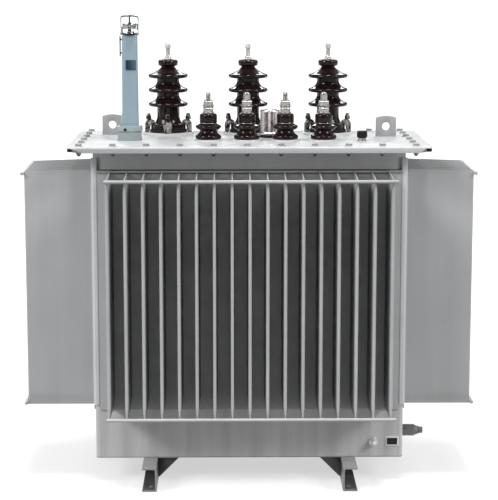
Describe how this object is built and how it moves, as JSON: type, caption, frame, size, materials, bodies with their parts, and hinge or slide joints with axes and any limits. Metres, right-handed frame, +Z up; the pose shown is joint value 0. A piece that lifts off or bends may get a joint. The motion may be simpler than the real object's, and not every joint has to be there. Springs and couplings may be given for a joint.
{
  "type": "oil-filled distribution power transformer",
  "caption": "Sealed oil-filled power transformer: corrugated cooling-fin tank on two skid channels, bolted cover with porcelain bushings, lifting lugs and a tall oil gauge.",
  "frame": {"origin": "on the floor, under the middle of the tank", "axes": "+X along the front to the right, +Y from front to back, +Z up"},
  "size_m": [1.3246, 0.7446, 1.359],
  "materials": {
    "tank_paint": "satin light grey paint on welded steel",
    "gauge_paint": "smooth blue-grey paint",
    "brown_porcelain": "dark brown glazed porcelain",
    "plated_steel": "tinned and zinc plated hardware",
    "cast_clamp": "grey sand-cast clamp metal",
    "stainless": "bright drawn stainless cap",
    "black_rubber": "black oil-proof gasket",
    "black_plastic": "black moulded plastic",
    "clear_dome": "clear moulded dome"
  },
  "bodies": {
    "root": {"back_corner_posts": "tank_paint", "back_corrugated_wall": "tank_paint", "back_fin_rods": "tank_paint", "bushing_seats": "tank_paint", "cover_gasket": "black_rubber", "cover_plate": "tank_paint", "drain_cap": "tank_paint", "drain_valve": "tank_paint", "earth_stud": "plated_steel", "front_corner_posts": "tank_paint", "front_corrugated_wall": "tank_paint", "front_fin_rods": "tank_paint", "gauge_base": "gauge_paint", "gauge_column": "gauge_paint", "gauge_dome": "clear_dome", "gauge_float": "black_plastic", "hv_bushing_1": "brown_porcelain", "hv_bushing_2": "brown_porcelain", "hv_bushing_3": "brown_porcelain", "hv_clamp_1": "cast_clamp", "hv_clamp_2": "cast_clamp", "hv_clamp_3": "cast_clamp", "hv_terminal_1": "plated_steel", "hv_terminal_2": "plated_steel", "hv_terminal_3": "plated_steel", "left_corrugated_wall": "tank_paint", "left_fin_rods": "tank_paint", "lifting_lug_left": "tank_paint", "lifting_lug_right": "tank_paint", "lv_bushing_1": "brown_porcelain", "lv_bushing_2": "brown_porcelain", "lv_bushing_3": "brown_porcelain", "lv_bushing_4": "brown_porcelain", "lv_terminal_1": "plated_steel", "lv_terminal_2": "plated_steel", "lv_terminal_3": "plated_steel", "lv_terminal_4": "plated_steel", "right_corrugated_wall": "tank_paint", "right_fin_rods": "tank_paint", "skid_gussets_left": "tank_paint", "skid_gussets_right": "tank_paint", "skid_left": "tank_paint", "skid_right": "tank_paint", "tank_bottom": "tank_paint", "tank_trough": "tank_paint", "tap_changer_cap": "stainless", "tap_changer_gasket": "black_rubber", "thermometer_cap": "black_plastic", "thermometer_pocket": "plated_steel", "upper_frame": "tank_paint"}
  },
  "joints": []
}
